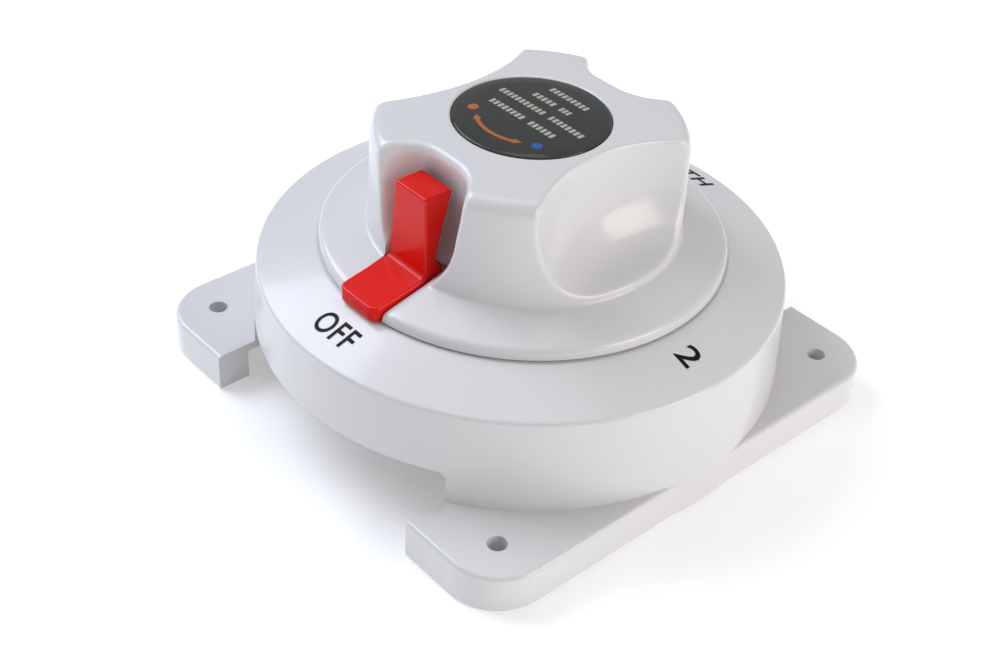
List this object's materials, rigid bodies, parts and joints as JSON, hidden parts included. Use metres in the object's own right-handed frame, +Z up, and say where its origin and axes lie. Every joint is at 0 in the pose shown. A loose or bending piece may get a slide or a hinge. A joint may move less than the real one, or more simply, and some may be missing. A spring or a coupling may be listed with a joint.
{
  "type": "marine battery selector switch",
  "caption": "Surface-mounted rotary battery selector: eared plate, round crowned body, lobed knob with sprung lock lever, copper contacts and terminal studs beneath.",
  "frame": {"origin": "centre of the mounting face, on the panel that the switch is screwed to", "axes": "+Z up out of the panel along the knob's axis; -Y towards the OFF position, +X towards position 2"},
  "size_m": [0.1342, 0.1336, 0.0744],
  "materials": {
    "white_plastic": "gloss moulded white plastic",
    "red_plastic": "gloss moulded red plastic",
    "label": "printed label under a clear dome",
    "black_plastic": "glass-filled moulding",
    "acetal": "natural moulding",
    "rubber": "matt",
    "copper": "rolled copper",
    "tinned_copper": "tin plated copper",
    "steel": "stainless steel",
    "brass": "turned brass"
  },
  "bodies": {
    "case": {"housing": "white_plastic", "contact_base": "black_plastic", "base_gasket": "rubber", "detent_ring": "acetal", "contact_common": "copper", "contact_1": "copper", "contact_2": "copper", "base_screw_1": "steel", "base_screw_2": "steel", "base_screw_3": "steel", "base_screw_4": "steel", "stud_common": "tinned_copper", "flat_washer_common": "steel", "lock_washer_common": "steel", "hex_nut_common": "steel", "stud_1": "tinned_copper", "flat_washer_1": "steel", "lock_washer_1": "steel", "hex_nut_1": "steel", "stud_2": "tinned_copper", "flat_washer_2": "steel", "lock_washer_2": "steel", "hex_nut_2": "steel"},
    "knob_turns": {"knob": "white_plastic", "knob_label": "label", "knob_screw": "steel", "knob_washer": "steel", "spindle": "brass", "spindle_oring": "rubber", "spindle_clip": "steel", "rotor": "acetal", "detent_spring_1": "steel", "detent_spring_2": "steel", "contact_spring_1": "steel", "contact_spring_2": "steel", "lever_pin": "steel"},
    "lever_moves": {"lock_lever": "red_plastic", "lever_spring": "steel"},
    "bridge_floats": {"contact_bridge": "tinned_copper"},
    "plunger_1_moves": {"detent_plunger_1": "steel"},
    "plunger_2_moves": {"detent_plunger_2": "steel"}
  },
  "joints": [
    {"name": "knob_turn", "type": "hinge", "parent": "case", "child": "knob_turns", "pos_m": [0, 0, 0.04], "axis": [0, 0, 1], "continuous": true},
    {"name": "lever_press", "type": "hinge", "parent": "knob_turns", "child": "lever_moves", "pos_m": [0, -0.0338, 0.0446], "axis": [-1, 0, 0], "range_deg": [0, 2], "stiffness_Nm_per_rad": 0.15},
    {"name": "bridge_lift", "type": "slide", "parent": "knob_turns", "child": "bridge_floats", "axis": [0, 0, 1], "range_m": [0, 0.0008], "stiffness_N_per_m": 4000, "deforming": ["contact_spring_1", "contact_spring_2"]},
    {"name": "plunger_1_slide", "type": "slide", "parent": "knob_turns", "child": "plunger_1_moves", "axis": [0, 0, 1], "range_m": [0, 0.0012], "stiffness_N_per_m": 1500, "deforming": ["detent_spring_1"]},
    {"name": "plunger_2_slide", "type": "slide", "parent": "knob_turns", "child": "plunger_2_moves", "axis": [0, 0, 1], "range_m": [0, 0.0012], "stiffness_N_per_m": 1500, "deforming": ["detent_spring_2"]}
  ]
}
